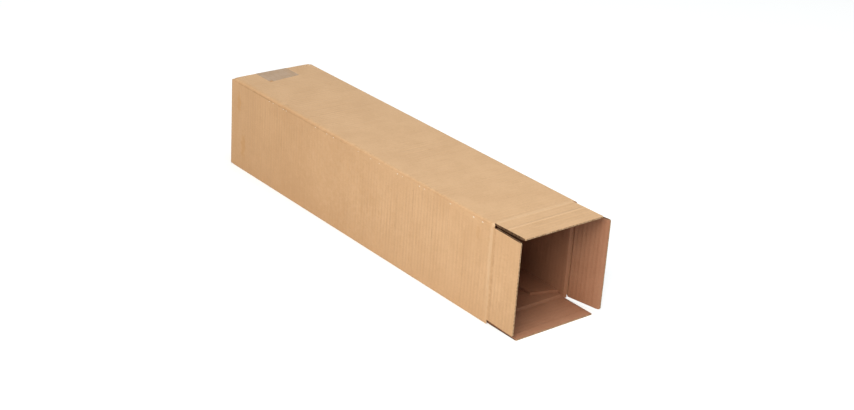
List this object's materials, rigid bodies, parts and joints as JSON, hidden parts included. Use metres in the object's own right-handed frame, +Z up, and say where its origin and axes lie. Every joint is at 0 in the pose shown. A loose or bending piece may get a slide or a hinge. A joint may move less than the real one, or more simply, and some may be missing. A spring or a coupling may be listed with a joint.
{
  "type": "cardboard mailing tube",
  "caption": "Long square-section mailing tube of corrugated board, taped shut at one end, with hinged closing flaps at the open end; holds rolled sheets.",
  "frame": {"origin": "centre of the underside, halfway between the closed end and the crease of the side flaps", "axes": "+X along the tube towards the open end, +Y to the right as seen facing the open end, +Z up"},
  "size_m": [0.5992, 0.1366, 0.1272],
  "materials": {
    "kraft_board": "matte brown kraft liner",
    "packing_tape": "hazy clear film"
  },
  "bodies": {
    "tube": {"tube_body": "kraft_board", "end_tape": "packing_tape"},
    "top_flap": {"top_flap": "kraft_board"},
    "bottom_flap": {"bottom_flap": "kraft_board"},
    "left_flap": {"left_flap": "kraft_board"},
    "right_flap": {"right_flap": "kraft_board"}
  },
  "joints": [
    {"name": "top_flap_crease", "type": "hinge", "parent": "tube", "child": "top_flap", "pos_m": [0.2715, 0, 0.126], "axis": [0, -1, 0], "range_deg": [-91.3, 163.7]},
    {"name": "bottom_flap_crease", "type": "hinge", "parent": "tube", "child": "bottom_flap", "pos_m": [0.2715, 0, 0], "axis": [0, 1, 0], "range_deg": [-90, 165]},
    {"name": "left_flap_crease", "type": "hinge", "parent": "tube", "child": "left_flap", "pos_m": [0.275, -0.063, 0.063], "axis": [0, 0, -1], "range_deg": [-92, 163]},
    {"name": "right_flap_crease", "type": "hinge", "parent": "tube", "child": "right_flap", "pos_m": [0.275, 0.063, 0.063], "axis": [0, 0, 1], "range_deg": [-100.5, 154.5]}
  ]
}
